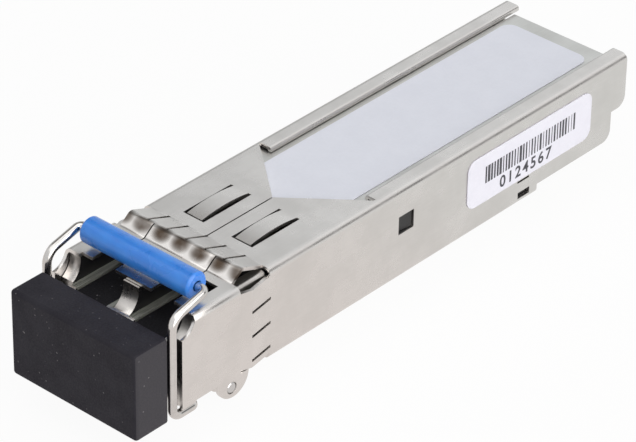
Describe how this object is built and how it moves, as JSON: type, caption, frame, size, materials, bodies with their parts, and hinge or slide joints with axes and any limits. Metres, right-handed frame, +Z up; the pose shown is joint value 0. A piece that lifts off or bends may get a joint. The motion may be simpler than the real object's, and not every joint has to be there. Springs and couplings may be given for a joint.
{
  "type": "sfp transceiver",
  "caption": "Small pluggable optical transceiver with two fibre ports, spring-fingered sheet sleeve, swinging bail latch, release lever and a dust plug in its ports.",
  "frame": {"origin": "on the middle of the width and the underside, in the plane where the module's nose meets the front of its cage", "axes": "+X across the width, +Y along the insertion direction towards the card edge, +Z up"},
  "size_m": [0.0142, 0.0591, 0.0122],
  "materials": {
    "nickel_sheet": "satin nickel-plated steel sheet",
    "cast_zinc": "satin plated die-cast zinc",
    "lid_zinc": "satin plated plate",
    "label_white": "matt label film",
    "board_green": "solder mask",
    "contact_gold": "hard gold plate",
    "optics_steel": "turned stainless steel",
    "ferrule_ceramic": "polished zirconia",
    "clamp_steel": "stamped steel",
    "flex_amber": "polyimide film",
    "chip_black": "moulded epoxy",
    "ceramic_tan": "fired ceramic",
    "pad_grey": "soft gap filler",
    "lever_steel": "stamped and plated steel",
    "spring_steel": "spring wire",
    "wire_nickel": "polished nickel-plated wire",
    "grip_blue": "glossy soft plastic",
    "plug_black": "matt black rubber"
  },
  "bodies": {
    "housing": {"shell": "nickel_sheet", "base_casting": "cast_zinc", "lid_plate": "lid_zinc", "top_label": "label_white", "side_label": "label_white", "circuit_board": "board_green", "edge_contacts": "contact_gold", "transmitter": "optics_steel", "receiver": "optics_steel", "transmitter_ferrule": "ferrule_ceramic", "receiver_ferrule": "ferrule_ceramic", "optics_clamp": "clamp_steel", "transmitter_flex": "flex_amber", "receiver_flex": "flex_amber", "controller_chip": "chip_black", "driver_chip": "chip_black", "amplifier_chip": "chip_black", "memory_chip": "chip_black", "board_capacitors": "ceramic_tan", "board_resistors": "chip_black", "supply_inductors": "chip_black", "thermal_pad": "pad_grey", "lever_pin": "lever_steel", "lever_spring": "spring_steel"},
    "bail": {"bail_wire": "wire_nickel", "bail_sleeve": "grip_blue"},
    "lever": {"latch_lever": "lever_steel"},
    "plug": {"dust_plug": "plug_black"}
  },
  "joints": [
    {"name": "plug_pull", "type": "slide", "parent": "housing", "child": "plug", "axis": [0, -1, 0], "range_m": [0, 0.03]},
    {"name": "bail_swing", "type": "hinge", "parent": "housing", "child": "bail", "pos_m": [0, -0.0051, 0.0001], "axis": [1, 0, 0], "range_deg": [0, 90]},
    {"name": "lever_release", "type": "hinge", "parent": "housing", "child": "lever", "pos_m": [0, -0.0013, -0.00025], "axis": [1, 0, 0], "range_deg": [0, 8], "deforming": ["lever_spring"]}
  ],
  "couplings": [
    {"joint": "bail_swing", "follows": "plug_pull", "rad_per_m": 52.3},
    {"joint": "lever_release", "follows": "plug_pull", "rad_per_m": 4.64}
  ]
}
